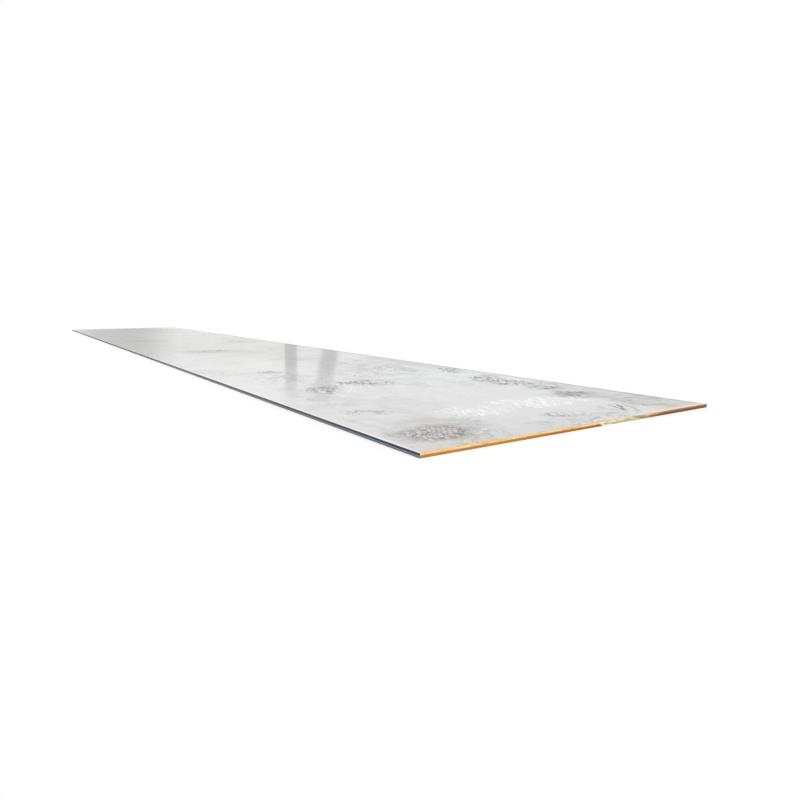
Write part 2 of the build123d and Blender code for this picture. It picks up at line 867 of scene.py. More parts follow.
def carry(mesh: bpy.types.Mesh, name: str, values: np.ndarray) -> None:
    """Gives each vertex a value of that name, for the material to read."""
    mesh.attributes.new(name, "FLOAT", "POINT").data.foreach_set("value", values)


@dataclass
class PlateSkin:
    """The whole plate as one closed mesh: two rolled faces, two rolled edges and two sheared ends."""

    sizes: PlateSizes
    relief: PlateRelief
    finishes: Sequence[bpy.types.Material]
    levels: int = 20
    rows: int = 540
    row_grading: float = 0.5
    columns_on_top: int = 50
    columns_below: int = 10
    columns_on_end: int = 500
    margin: float = 3.0 * MILLIMETRE
    end_rows: tuple[float, ...] = (0.005, 0.008, 0.014, 0.026, 0.045)
    middle_from: float = 1.4

    def heights(self) -> np.ndarray:
        """Levels closer together towards both faces: t (1 - cos(pi k / n)) / 2."""
        step = np.linspace(0, np.pi, self.levels + 1)
        return self.sizes.thickness * (1 - np.cos(step)) / 2

    def rows_between(self) -> np.ndarray:
        """Rows of the long middle: s (t + g sin(pi t) / pi), closer together towards both ends.

        Returns:
            Their places along the plate.
        """
        span = self.sizes.half_length - self.middle_from * self.end_rows[-1]
        t = np.linspace(-1, 1, self.rows + 1)
        return span * (t + self.row_grading * np.sin(np.pi * t) / np.pi)

    def rows_at_end(self, end: int) -> np.ndarray:
        """Rows next to an end, from the end inwards."""
        return end * (self.sizes.half_length - np.array(self.end_rows))

    def columns(self, cells: int) -> np.ndarray:
        """Places across a face: even cells between two narrow ones at the borders.

        Args:
            cells: How many even cells there are.

        Returns:
            The places, from one border to the other.
        """
        border = self.sizes.half_width - self.sizes.edge_inset(np.array([0.0]))[0]
        inner = np.linspace(self.margin - border, border - self.margin, cells + 1)
        return np.concatenate([[-border], inner, [border]])

    def end_line(self, end: int, heights: np.ndarray) -> np.ndarray:
        """Where an end's plain form lies along X.

        Args:
            end: 1 for the end at +X and -1 for the one at -X.
            heights: Heights above the underside.

        Returns:
            The place at each height.
        """
        from_last_face = heights if end > 0 else self.sizes.thickness - heights
        inset = self.sizes.end_inset(from_last_face, self.sizes.land_bottom)
        return end * (self.sizes.half_length - inset)

    def add_face(self, patches: Patchwork, height: float, columns: int) -> None:
        """Adds a rolled face: a fine grid at each end, fans, and a coarse grid between them.

        Args:
            patches: The faces so far.
            height: The face's height.
            columns: How many cells the coarse grid has across the plate.
        """
        fine, coarse = self.columns(self.columns_on_end), self.columns(columns)
        between = self.rows_between()
        patches.grid(level_grid(between, coarse, height), Face.ROLLED_FACE)
        for end, last_row in ((-1, between[0]), (1, between[-1])):
            border = self.end_line(end, np.array([height]))
            rows = np.concatenate([border, self.rows_at_end(end)])
            patches.grid(level_grid(rows, fine, height), Face.ROLLED_FACE)
            inner = level_grid(rows[-1:], fine, height)[0]
            outer = level_grid(np.array([last_row]), coarse, height)[0]
            patches.fans(inner, outer, Face.ROLLED_FACE)

    def add_edge(self, patches: Patchwork, side: int) -> None:
        """Adds a rolled edge: the edge's section at each row, ended by the two end lines.

        Args:
            patches: The faces so far.
            side: 1 for the edge at +Y and -1 for the one at -Y.
        """
        heights = self.heights()
        steady = np.concatenate([self.rows_at_end(-1), self.rows_between(), self.rows_at_end(1)[::-1]])
        along = np.empty((len(steady) + 2, len(heights)))
        along[0], along[-1] = self.end_line(-1, heights), self.end_line(1, heights)
        along[1:-1] = steady[:, None]
        across = side * (self.sizes.half_width - self.sizes.edge_inset(heights))
        grid = np.broadcast_arrays(along, across[None, :], heights[None, :])
        patches.grid(np.stack(grid, axis=2), Face.ROLLED_EDGE)

    def add_end(self, patches: Patchwork, end: int) -> None:
        """Adds a sheared end: the end line at each column, ended by the two edges' sections.

        Args:
            patches: The faces so far.
            end: 1 for the end at +X and -1 for the one at -X.
        """
        heights = self.heights()
        columns = self.columns(self.columns_on_end)
        across = np.repeat(columns[:, None], len(heights), axis=1)
        across[-1] = self.sizes.half_width - self.sizes.edge_inset(heights)
        across[0] = -across[-1]
        along = self.end_line(end, heights)
        grid = np.broadcast_arrays(along[None, :], across, heights[None, :])
        patches.grid(np.stack(grid, axis=2), Face.SHEARED_END)

    def build(self) -> bpy.types.Object:
        """Sews the plain form, moves it by the relief and dresses it.

        Returns:
            The plate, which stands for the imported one.
        """
        patches = Patchwork()
        self.add_face(patches, self.sizes.thickness, self.columns_on_top)
        self.add_face(patches, 0.0, self.columns_below)
        for way in (-1, 1):
            self.add_edge(patches, way)
            self.add_end(patches, way)
        plain, faces, kinds = patches.sewn()
        points, land = self.relief.shaped(plain)
        mesh = closed_mesh("plate_skin", points, faces)
        mesh.polygons.foreach_set("material_index", kinds)
        carry(mesh, "land", land)
        carry(mesh, "height", plain[:, 2] / self.sizes.thickness)
        for finish in self.finishes:
            mesh.materials.append(finish)
        piece = shown_piece("plate_skin", mesh)
        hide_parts(NODE)
        return piece


def level_grid(rows: np.ndarray, columns: np.ndarray, height: float) -> np.ndarray:
    """A flat grid at one height: x from the rows, y from the columns."""
    x, y = np.meshgrid(rows, columns, indexing="ij")
    return np.stack([x, y, np.full_like(x, height)], axis=2)


@dataclass
class ScaleChips:
    """The patch near one corner where the scale has cracked into chips that curl up."""

    relief: PlateRelief
    finish: bpy.types.Material
    centre: tuple[float, float] = (5.745, -0.735)
    half: tuple[float, float] = (0.12, 0.16)
    pitch: float = 27.0 * MILLIMETRE
    cells: tuple[int, int] = (25, 29)
    fallen_out: float = 0.14
    border: float = 0.84
    border_wander: float = 0.34
    border_waves: tuple[float, ...] = (0.05, 0.08, 0.13)
    jitter: float = 0.55
    turn_deg: float = 27.0
    gap: float = 2.0 * MILLIMETRE
    rim: float = 2.0 * MILLIMETRE
    thickness: float = 0.35 * MILLIMETRE
    curl: float = 0.8 * MILLIMETRE
    ring_lift: float = 0.8
    seed: int = 5

    def scattered(self, points: np.ndarray) -> np.ndarray:
        """Moves points to and fro at random, the same way wherever the same point comes up again.

        Each part moves by j p (frac(|c sin(k . q + s)|) - 1 / 2): j the jitter, p the pitch, c the
        hash's scale, k its paces for that part, q the point in pitches, rounded, and s the seed.

        Args:
            points: Points, with coordinates x and y last.

        Returns:
            The moved points.
        """
        keys = np.round(points / self.pitch, 3)
        noise = np.abs(HASH_SCALE * np.sin(keys @ HASH_PACES + self.seed))
        return points + self.jitter * self.pitch * (noise % 1 - 0.5)

    def corners(self) -> np.ndarray:
        """Corners of the chips inside a ragged ellipse: a turned honeycomb, each corner scattered.

        Returns:
            The chips' six corners, as chips, corners and coordinates x and y.
        """
        rows, columns = (np.arange(count) - count // 2 for count in self.cells)
        column, row = np.meshgrid(columns, rows)
        middle = self.pitch * np.stack([column + 0.5 * (row % 2), row * math.sqrt(0.75)], axis=2)
        turn = math.radians(self.turn_deg)
        onto = np.array([[math.cos(turn), math.sin(turn)], [-math.sin(turn), math.cos(turn)]])
        angles = np.radians(30 + 60 * np.arange(6))
        spokes = self.pitch / math.sqrt(3) * np.stack([np.cos(angles), np.sin(angles)], axis=1)
        middle = middle.reshape(-1, 1, 2)
        cells = self.scattered(middle + spokes) @ onto
        reach = np.linalg.norm((middle[:, 0] @ onto) / np.array(self.half), axis=1)
        dice = np.random.default_rng(self.seed)
        ragged = self.border + self.border_wander * ripples(middle[:, 0], self.border_waves, self.seed)
        kept = cells[(reach < ragged) & (dice.random(len(cells)) > self.fallen_out)]
        return kept + np.array(self.centre)

    def build(self) -> bpy.types.Object:
        """Makes each chip a thin slab: a middle, an inner ring, and a rim whose corners curl up.

        Returns:
            The chips, as one piece.
        """
        outer = self.corners()
        middle = outer.mean(axis=1, keepdims=True)
        away = outer - middle
        reach = np.linalg.norm(away, axis=2, keepdims=True)
        rim = middle + away * (1 - self.gap / reach)
        ring = middle + away * (1 - (self.gap + self.rim) / reach)
        dice = np.random.default_rng(self.seed + 1)
        face = self.relief.sizes.thickness - self.relief.face_drop(*middle[:, 0].T)
        lift = self.curl * dice.random(outer.shape[:2]) ** 2
        plan = np.concatenate([rim, ring, rim, middle, middle], axis=1)
        level = np.concatenate([lift, self.ring_lift * lift, lift, np.zeros((len(outer), 2))], axis=1)
        half, sides = self.thickness / 2, outer.shape[1]
        offset = np.repeat([half, -half, half, -half], [2 * sides, sides, 1, 1])
        points = np.dstack([plan, level + offset + face[:, None]]).reshape(-1, 3)
        start = plan.shape[1] * np.arange(len(outer))[:, None, None]
        faces = [
            face
            for group in self.slab_faces(sides)
            for face in (group + start).reshape(-1, group.shape[1]).tolist()
        ]
        mesh = closed_mesh("scale_chips", points, faces)
        worn = np.tile(np.repeat([1.0, 0.0, 1.0, 0.0, 1.0], [sides, sides, sides, 1, 1]), len(outer))
        carry(mesh, "rim", worn)
        mesh.materials.append(self.finish)
        return shown_piece("scale_chips", mesh)

    @staticmethod
    def slab_faces(sides: int) -> tuple[np.ndarray, ...]:
        """Faces of one chip, whose vertices are its upper rim, ring, lower rim and two middles.

        Args:
            sides: How many corners it has.

        Returns:
            The crown, the underside, the slope round the crown and the side.
        """
        corner = np.arange(sides)
        after = (corner + 1) % sides
        crown = np.stack([corner + sides, after + sides, np.full(sides, 3 * sides)], axis=1)
        below = np.stack([after + 2 * sides, corner + 2 * sides, np.full(sides, 3 * sides + 1)], axis=1)
        slope = np.stack([corner, after, after + sides, corner + sides], axis=1)
        side = np.stack([corner + 2 * sides, after + 2 * sides, after, corner], axis=1)
        return crown, below, slope, side


@dataclass(frozen=True)
class Mark:
    """A smudge, stain or scuff on the upper face: an ellipse with a ragged border."""

    x: float
    y: float
    half_x: float
    half_y: float
    strength: float
    turn_deg: float = 0.0

    def mask(self, place: Arrow, raggedness: Value) -> Value:
        """Where the mark lies: whole inside half its size, and fading out to 1.15 times its size.

        Args:
            place: The place on the plate.
            raggedness: What is added to the distance from the middle, in half sizes.

        Returns:
            The mask, 0 to the mark's strength.
        """
        centre, half = (self.x, self.y, 0.0), (self.half_x, self.half_y, 1.0)
        reach = place.placed(centre, half, self.turn_deg).length()
        return (reach + raggedness).falls(0.5, 1.15) * self.strength

    @staticmethod
    def any_of(marks: Sequence["Mark"], place: Arrow, raggedness: Value) -> Value:
        """Where any of several marks lies: the largest of their masks."""
        return reduce(Value.at_least, [mark.mask(place, raggedness) for mark in marks])


@dataclass(frozen=True)
class ScaleFinish:
    """Tight, pale mill scale on the rolled faces, oiled, clouded, smudged and scuffed, with painted
    highlights beside its dark wisps and along one long edge.
    """

    sizes: PlateSizes
    pale: RGB = srgb(211, 211, 208)
    cool: RGB = srgb(184, 186, 188)
    smudge: RGB = srgb(98, 96, 94)
    wisp: RGB = srgb(132, 132, 134)
    # Near white: pale marks and scuffs, and also the colour of the painted highlights.
    chalk_and_highlight: RGB = srgb(246, 247, 248)
    crack: RGB = srgb(92, 72, 56)
    bleed: RGB = srgb(222, 170, 84)
    warm: RGB = srgb(206, 184, 140)
    blush: RGB = srgb(240, 206, 176)
    olive: RGB = srgb(184, 178, 132)
    dust: RGB = srgb(150, 138, 114)
    smears: tuple[Mark, ...] = (
        Mark(5.58, -0.57, 0.25, 0.12, 0.34, 56),
        Mark(5.34, 0.68, 0.17, 0.20, 0.62, 56),
        Mark(5.40, 0.86, 0.60, 0.24, 0.36),
        Mark(3.20, 0.90, 0.90, 0.13, 0.34),
        Mark(5.73, -0.74, 0.14, 0.17, 0.30),
    )
    wisps: tuple[Mark, ...] = (
        Mark(4.50, 0.72, 0.15, 0.26, 0.95, 56),
        Mark(4.76, 0.74, 0.15, 0.16, 0.80, 56),
        Mark(5.02, 0.72, 0.15, 0.10, 0.75, 56),
        Mark(3.90, 0.84, 0.10, 0.22, 0.70, 56),
        Mark(0.85, -0.30, 0.30, 0.26, 0.60, 56),
        Mark(-0.60, 0.60, 0.26, 0.36, 0.50, 56),
        Mark(3.20, -0.46, 0.14, 0.14, 0.70, 56),
        Mark(4.30, -0.55, 0.13, 0.22, 0.95, 56),
        Mark(4.16, -0.14, 0.24, 0.16, 0.80, 56),
        Mark(5.34, 0.68, 0.15, 0.14, 0.60, 56),
        Mark(5.16, -0.72, 0.16, 0.07, 0.50, 56),
        Mark(5.76, 0.07, 0.14, 0.07, 0.45, 56),
    )
    ticks: Mark = Mark(5.80, 0.49, 0.12, 0.14, 0.9, 60)
    cracks: Mark = Mark(5.745, -0.735, 0.165, 0.21, 1.0)
    scuffs: tuple[Mark, ...] = (
        Mark(5.40, -0.21, 0.17, 0.19, 1.0, -5),
        Mark(5.41, 0.14, 0.15, 0.46, 1.0, -6),
    )
    corner_stain: Mark = Mark(5.98, 0.90, 0.14, 0.34, 0.45)
    olive_stain: Mark = Mark(5.87, -0.02, 0.07, 0.02, 0.5, 56)

    def material(self) -> bpy.types.Material:
        """Lays up the scale, layer by layer.

        Returns:
            The rolled faces' material.
        """
        look = self.bare(ShaderTree.of_material("mill_scale").place())
        height = look.place.part("Z")
        on_top = height.rises(0.4 * self.sizes.thickness, 0.6 * self.sizes.thickness)
        self.cloud(look)
        self.dust_over(look)
        self.draw_wisps(look, on_top)
        self.smear(look, on_top)
        self.darken_far_edge_and_paint_rim_highlight(look, on_top)
        self.crack_up(look, on_top)
        self.scuff(look, on_top)
        self.rust_near_ends(look)
        self.grain(look)
        return look.finished()

    def bare(self, place: Arrow) -> Look:
        """Clean scale: pale and cool areas, mottled, and faintly drawn out along the rolling direction.

        Args:
            place: The place on the plate.

        Returns:
            The bare surface.
        """
        areas = place.on_face(0.30, 0.75).noise(3.0, 0.5).rises(0.30, 0.70)
        streaks = place.on_face(0.22, 16.0).noise(5.0, 0.62)
        ripple = place.on_face(4.5, 5.5, (1.0, 9.0)).noise(5.0, 0.6, 0.15)
        mix = areas * 0.45 + streaks * 0.35 + ripple * 0.4
        colour = place.tree.ramp(mix, ((0.35, self.cool), (0.85, self.pale)))
        roughness = 0.17 + areas * 0.05 + ripple * 0.16
        look = Look(place, colour, roughness, streaks * 0.1 + 0.82, 1.32 - ripple * 0.72)
        look.shade(streaks * 0.14 + 0.93)
        look.raise_by(ripple * (0.5 * MILLIMETRE))
        return look

    def cloud(self, look: Look) -> None:
        """Adds faint dull clouds and spots with a ragged inside, and a few paler spots.

        Args:
            look: The surface so far.
        """
        where = look.place.on_face(0.6, 1.2, (3.0, 7.0)).noise(3.0, 0.55).rises(0.50, 0.70)
        inside = look.place.on_face(9.0, 8.0).noise(7.0, 0.72, 0.15).rises(0.38, 0.66)
        look.lay(where * inside * 0.34, self.smudge, 0.42, 0.6, 0.3)
        spots = look.place.on_face(2.6, 2.9, (0.0, 6.0)).noise(6.0, 0.6, 0.15)
        look.lay(spots.rises(0.585, 0.68) * inside * 0.30, self.smudge, 0.42, 0.6, 0.2)
        look.lay(spots.falls(0.34, 0.41) * 0.18, self.chalk_and_highlight, 0.25, 0.9, 1.0)

    def dust_over(self, look: Look) -> None:
        """Adds films of dust: a warm one over the far half, and two cool ones towards the near end.

        Args:
            look: The surface so far.
        """
        along = look.place.part("X")
        broad = look.place.on_face(0.35, 0.8, (2.0, 4.0)).noise(3.0, 0.5) - 0.5
        look.lay((along + broad * 6.0).falls(0.5, 3.6) * 0.24, self.dust, 0.35, 0.6, 0.0)
        towards_end = along + broad * 0.6
        for start, whole, strength in ((4.6, 5.0, 0.12), (5.45, 5.80, 0.24)):
            look.lay(towards_end.rises(start, whole) * strength, self.cool, 0.35, 0.6, 0.0)

    def draw_wisps(self, look: Look, on_top: Value) -> None:
        """Adds ragged dark lines with pale painted highlights beside them, thick in a few places and faint
        elsewhere.

        Broken strokes and flecks fill the thick places, their pale parts painted glints, faint streaks
        run between them, and a few dark ticks lie near one corner.

        Args:
            look: The surface so far.
            on_top: 1 on the upper face and 0 on the underside.
        """
        place = look.place
        ragged = place.on_face(5.0, 5.0).noise(6.0, 0.7, 0.2) * 2.4 - 1.2
        thick = Mark.any_of(self.wisps, place, ragged) * on_top
        strokes = place.stroked(0.22, 0.06, 56.0).noise(6.0, 0.7, 0.3)
        flecks = place.stroked(0.11, 0.026, -34.0).noise(5.0, 0.65, 0.4)
        broken = flecks.rises(0.38, 0.60) * 0.8 + 0.2
        look.lay(thick * 0.20, self.smudge, 0.42, 0.55, 0.3)
        look.lay(strokes.rises(0.50, 0.59) * thick * broken, self.wisp, 0.95, 0.0, 0.0)
        # Pale sides of the strokes and pale flecks: painted highlights and glints.
        look.lay(strokes.falls(0.38, 0.45) * thick * 0.5, self.chalk_and_highlight, 0.35, 0.5, 0.6)
        look.lay(flecks.falls(0.38, 0.43) * thick * 0.65, self.chalk_and_highlight, 0.35, 0.5, 1.0)
        thick = thick * strokes.rises(0.32, 0.48)
        level = place.on_face(8.0, 8.0, (11.0, 2.0)).noise(8.0, 0.68, 0.25)
        dark = abs(level - 0.5).falls(0.006, 0.032)
        # A pale line beside each dark one: a painted highlight, as of a ripple in the scale catching light.
        light = abs(level - 0.55).falls(0.004, 0.026)
        faint = place.on_face(1.1, 1.3, (5.0, 1.0)).noise(3.0).rises(0.49, 0.66)
        faint = faint * (0.52 - place.part("X").falls(2.0, 4.0) * 0.08)
        shown = thick.at_least(faint)
        look.lay(dark * shown, self.wisp, 0.95, 0.0, 0.0)
        look.lay(light * shown * 0.6, self.chalk_and_highlight, 0.35, 0.5, 0.6)
        look.lay(strokes.rises(0.52, 0.60) * faint * 0.45, self.smudge, 0.45, 0.5, 0.1)
        look.lay(flecks.rises(0.53, 0.59) * thick, self.wisp, 0.95, 0.0, 0.0)
        scratches = place.stroked(0.16, 0.019, -28.0).noise(3.0, 0.6, 0.1).rises(0.50, 0.56)
        ticks = self.ticks.mask(place, ragged * 0.6) * scratches
        look.lay(ticks * on_top, self.wisp, 0.95, 0.0, 0.0)

    def smear(self, look: Look, on_top: Value) -> None:
        """Adds the soft grey smears, each in its place.

        Args:
            look: The surface so far.
            on_top: 1 on the upper face and 0 on the underside.
        """
        ragged = look.place.on_face(4.5, 4.5, (2.0, 5.0)).noise(6.0, 0.7, 0.6) * 2.4 - 1.3
        grey = Mark.any_of(self.smears, look.place, ragged)
        drawn = look.place.stroked(0.11, 0.028, 50.0).noise(4.0, 0.7).rises(0.26, 0.62)
        look.lay(grey * on_top * drawn, self.smudge, 0.42, 0.55, 0.15)

    def darken_far_edge_and_paint_rim_highlight(self, look: Look, on_top: Value) -> None:
        """Dulls the scale along one long edge, and paints a bright highlight in a narrow strip along the
        other.

        Args:
            look: The surface so far.
            on_top: 1 on the upper face and 0 on the underside.
        """
        across = look.place.part("Y")
        ragged = look.place.on_face(2.5, 12.0, (7.0, 0.0)).noise(5.0, 0.65) - 0.5
        dull = (self.sizes.half_width - across + ragged * 0.08).falls(0.02, 0.075)
        look.lay(dull * on_top * 0.5, self.smudge, 0.4, 0.6, 0.3)
        # Painted highlight: a pale strip along the edge at -Y, where the face rounds over onto the edge.
        rubs_and_highlight = (self.sizes.half_width + across + ragged * 0.03).falls(0.012, 0.03)
        look.lay(rubs_and_highlight * on_top * 0.6, self.chalk_and_highlight, 0.25, 0.9)

    def crack_up(self, look: Look, on_top: Value) -> None:
        """Adds hairline rusty cracks around the loose chips, where the scale still holds.

        Args:
            look: The surface so far.
            on_top: 1 on the upper face and 0 on the underside.
        """
        ragged = look.place.on_face(14.0, 14.0).noise(4.0, 0.6) - 0.5
        near = self.cracks.mask(look.place, ragged) * on_top
        lines = look.place.on_face(60.0, 60.0).crackle().falls(0.03, 0.13)
        look.lay(near * lines * 0.8, self.crack, 0.7, 0.1, 0.0)
        look.lay(near * 0.28, self.crack, 0.6, 0.3)

    def scuff(self, look: Look, on_top: Value) -> None:
        """Adds straight white scuffs in a pale strip across the plate, and a few weak rubs elsewhere.

        Args:
            look: The surface so far.
            on_top: 1 on the upper face and 0 on the underside.
        """
        ragged = look.place.on_face(10.0, 10.0).noise(4.0, 0.65, 0.4) - 0.5
        strip = Mark.any_of(self.scuffs, look.place, ragged * 2.2) * on_top
        look.lay(strip * 0.10, self.chalk_and_highlight, 0.4, 0.6, 0.8)
        flecks = look.place.stroked(0.10, 0.014, -24.0).noise(1.2, 0.5, 0.06)
        pressed = look.place.on_face(3.0, 2.2, (6.0, 2.0)).noise(2.0, 0.5).rises(0.28, 0.50)
        scratched = strip.rises(0.1, 0.6) * flecks.rises(0.52, 0.56) * pressed
        look.lay(scratched, self.chalk_and_highlight, 0.5, 0.2, 1.0)
        rubs_and_highlight = look.place.on_face(1.3, 1.6, (9.0, 4.0)).noise(3.0).rises(0.60, 0.72)
        look.lay(rubs_and_highlight * flecks.rises(0.54, 0.62) * 0.6, self.chalk_and_highlight, 0.4, 0.4, 0.8)
        look.raise_by(scratched * (0.05 * MILLIMETRE))

    def rust_near_ends(self, look: Look) -> None:
        """Adds rust that has crept in from the cut ends, and stains beside them.

        Args:
            look: The surface so far.
        """
        along, across = look.place.part("X"), look.place.part("Y")
        ragged = look.place.on_face(20.0, 9.0, (1.0, 3.0)).noise(6.0, 0.7) - 0.5
        from_end = self.sizes.half_length - abs(along)
        look.lay((from_end + ragged * 0.03).falls(0.002, 0.016) * 0.7, self.bleed, 0.6, 0.2, 0.2)
        blotched = look.place.on_face(2.2, 3.0).noise(5.0, 0.65) - 0.5
        haze = (from_end + blotched * 0.9).falls(-0.05, 0.16)
        look.lay(haze * (across.falls(-0.8, 0.0) * 0.3 + 0.1), self.warm, 0.45, 0.6)
        look.lay(self.corner_stain.mask(look.place, ragged) * 0.7, self.warm, 0.5, 0.5)
        browned = (across + ragged * 0.6).rises(0.35, 0.6) * along.rises(0.0, 1.0)
        blushed = (from_end + ragged * 0.05).falls(0.01, 0.06)
        look.lay(blushed * browned * 0.55, self.blush, 0.35, 0.3, 0.9)
        look.lay(self.olive_stain.mask(look.place, ragged), self.olive, 0.5, 0.4, 0.4)

    def grain(self, look: Look) -> None:
        """Adds the fine pimples of the scale, shallow scratches and rare pits.

        Args:
            look: The surface so far.
        """
        fine = (look.place * (130.0, 170.0, 170.0)).noise(3.0, 0.6)
        mottle = look.place.on_face(24.0, 28.0).noise(5.0, 0.7)
        look.shade(mottle * 0.26 + 0.87)
        scratch = look.place.stroked(1.6, 0.006, 4.0).noise(2.0, 0.5).rises(0.66, 0.72)
        scratch = scratch * look.place.on_face(2.0, 3.5).noise(1.0).rises(0.5, 0.6)
        look.lay(scratch * 0.5, self.chalk_and_highlight, 0.3)
        pits = look.place.on_face(16.0, 16.0).dots().falls(0.03, 0.06)
        look.lay(pits * mottle.rises(0.5, 0.6), self.wisp, 0.6, 0.2, 0.0)
        look.raise_by(fine * (0.02 * MILLIMETRE) + mottle * (0.04 * MILLIMETRE))
        look.raise_by(scratch * (-0.04 * MILLIMETRE) + pits * (-0.2 * MILLIMETRE))


@dataclass(frozen=True)
class EdgeFinish:
    """Thick slate-blue scale on the rolled edges: lighter along the crown, partly worn and partly a painted
    highlight, and darker at the foot, a painted shadow.
    """

    # Darkest tone, at the foot of the edge: a painted shadow.
    underside_shadow: RGB = srgb(40, 41, 44)
    slate: RGB = srgb(78, 85, 95)
    # Lighter crown band: partly worn scale and partly a painted highlight.
    rubs_and_highlight: RGB = srgb(132, 143, 156)
    shoulder: RGB = srgb(42, 45, 51)
    olive: RGB = srgb(100, 100, 92)
    face: RGB = srgb(196, 197, 195)
    rust: RGB = srgb(116, 84, 58)

    def material(self) -> bpy.types.Material:
        """Lays up the edge's scale: bands of tone up its height, with a painted shadow at the foot and a
        painted highlight at the crown, then rust, borders and specks.

        Returns:
            The rolled edges' material.
        """
        tree = ShaderTree.of_material("rolled_edge")
        place, height = tree.place(), tree.measure("height")
        long = (place * (3.0, 3.0, 60.0)).noise(6.0, 0.65)
        lines = (place * (5.0, 5.0, 900.0)).noise(5.0, 0.65)
        grit = (place * (420.0, 420.0, 420.0)).noise(4.0, 0.65)
        # Tone by height: painted shadow at the foot, painted highlight mixed with wear at the crown.
        stops = (
            (0.0, self.underside_shadow),
            (0.16, self.slate),
            (0.42, self.rubs_and_highlight),
            (0.58, self.slate),
            (0.70, self.shoulder),
        )
        bands = tree.ramp(height + (long - 0.5) * 0.25, stops)
        look = Look(place, bands, long * 0.25 + 0.3, lines * 0.3 + 0.45)
        far = place.part("X").falls(0.5, 4.0)
        look.lay(far * 0.6, self.olive, 0.45, 0.6)
        look.shade((lines * 0.6 + grit * 0.3 + 0.55) * (1.0 - far * 0.2))
        brown = (place * (0.9, 0.9, 30.0) + (4.0, 0.0, 0.0)).noise(5.0, 0.6)
        rusty = (brown - place.part("X") * 0.012).rises(0.49, 0.63)
        look.lay(rusty * lines.rises(0.40, 0.56) * 0.75, self.rust, 0.7, 0.1)
        look.lay(height.rises(0.955, 0.995), self.face, 0.28, 0.8)
        look.lay(height.falls(0.005, 0.04), self.face, 0.4, 0.6)
        specks = (place * (90.0, 90.0, 90.0)).dots().falls(0.10, 0.22) * long.rises(0.46, 0.6)
        look.lay(specks * 0.8, self.rust, 0.8, 0.0)
        look.raise_by(lines * (0.3 * MILLIMETRE) + long * (0.3 * MILLIMETRE) + grit * (0.12 * MILLIMETRE))
        return look.finished()


@dataclass(frozen=True)
class EndFinish:
    """Rust on the sheared ends: golden on the smooth land, orange to brown on the torn steel, with painted
    light that makes it paler towards the top and darker towards the underside.
    """

    gold: RGB = srgb(240, 196, 104)
    light_gold: RGB = srgb(252, 216, 150)
    orange: RGB = srgb(196, 122, 44)
    deep: RGB = srgb(150, 82, 30)
    brown: RGB = srgb(96, 58, 30)
    cream: RGB = srgb(250, 236, 204)
    ochre: RGB = srgb(190, 146, 70)
    paint: RGB = srgb(236, 224, 184)
    paint_shade: RGB = srgb(150, 134, 90)
    paint_from: float = 0.08
    paint_to: float = 0.50
    brown_from: float = 0.40
    brown_to: float = 0.62

    def material(self) -> bpy.types.Material:
        """Lays up the rust, and at the near end a stretch of worn cream paint.

        Returns:
            The sheared ends' material.
        """
        tree = ShaderTree.of_material("sheared_end")
        place, height, land = tree.place(), tree.measure("height"), tree.measure("land")
        across = place.part("Y")
        blotch = (place * (20.0, 14.0, 90.0)).noise(6.0, 0.65)
        wander = blotch - 0.5
        grit = (place * (320.0, 320.0, 320.0)).noise(5.0, 0.75)
        # Colour follows height as well as blotches: painted light from above, golden towards the top and
        # brown lower down, alike at both ends.
        rust_shaded_by_height = ((0.2, self.brown), (0.42, self.deep), (0.62, self.orange), (0.85, self.gold))
        look = Look(place, tree.ramp(height * 0.55 + blotch * 0.6, rust_shaded_by_height), grit * 0.2 + 0.7, grit * 0.1)
        look.lay((across + wander * 0.8).falls(-0.7, 0.1) * 0.6, self.ochre, 0.7, 0.1)
        stripes = (place * (40.0, 380.0, 12.0)).noise(4.0, 0.6)
        golds = ((0.36, self.orange), (0.46, self.gold), (0.6, self.light_gold))
        look.lay(land, tree.ramp(blotch * 0.6 + stripes * 0.4, golds), stripes * 0.3 + 0.4, 0.25)
        browned = (across + wander * 0.5).rises(self.brown_from, self.brown_to)
        look.lay(browned * 0.75, self.brown, 0.8, 0.0)
        near = place.part("X").rises(-1.0, 1.0)
        painted = (across + wander * 0.06).rises(self.paint_from - 0.01, self.paint_from + 0.01)
        painted = painted * (across + wander * 0.3).falls(self.paint_to - 0.08, self.paint_to)
        painted = painted * near * (grit + land * 0.3).rises(0.34, 0.5)
        worn = blotch - across.rises(0.14, 0.42) * 0.12
        look.lay(painted * 0.9, tree.ramp(worn, ((0.34, self.paint_shade), (0.54, self.paint))), 0.55, 0.0)
        # A small cream blob where the paint starts: partly paint and partly a painted highlight.
        paint_blob_highlight = abs(across - self.paint_from).falls(0.005, 0.016) * near * height.rises(0.25, 0.5)
        look.lay(paint_blob_highlight * 0.9, self.cream, 0.4, 0.0)
        look.shade(grit * 0.9 + 0.55)
        look.raise_by(grit * (1.1 * MILLIMETRE) * (1.0 - land * 0.85))
        look.raise_by(stripes * land * (0.12 * MILLIMETRE))
        return look.finished()


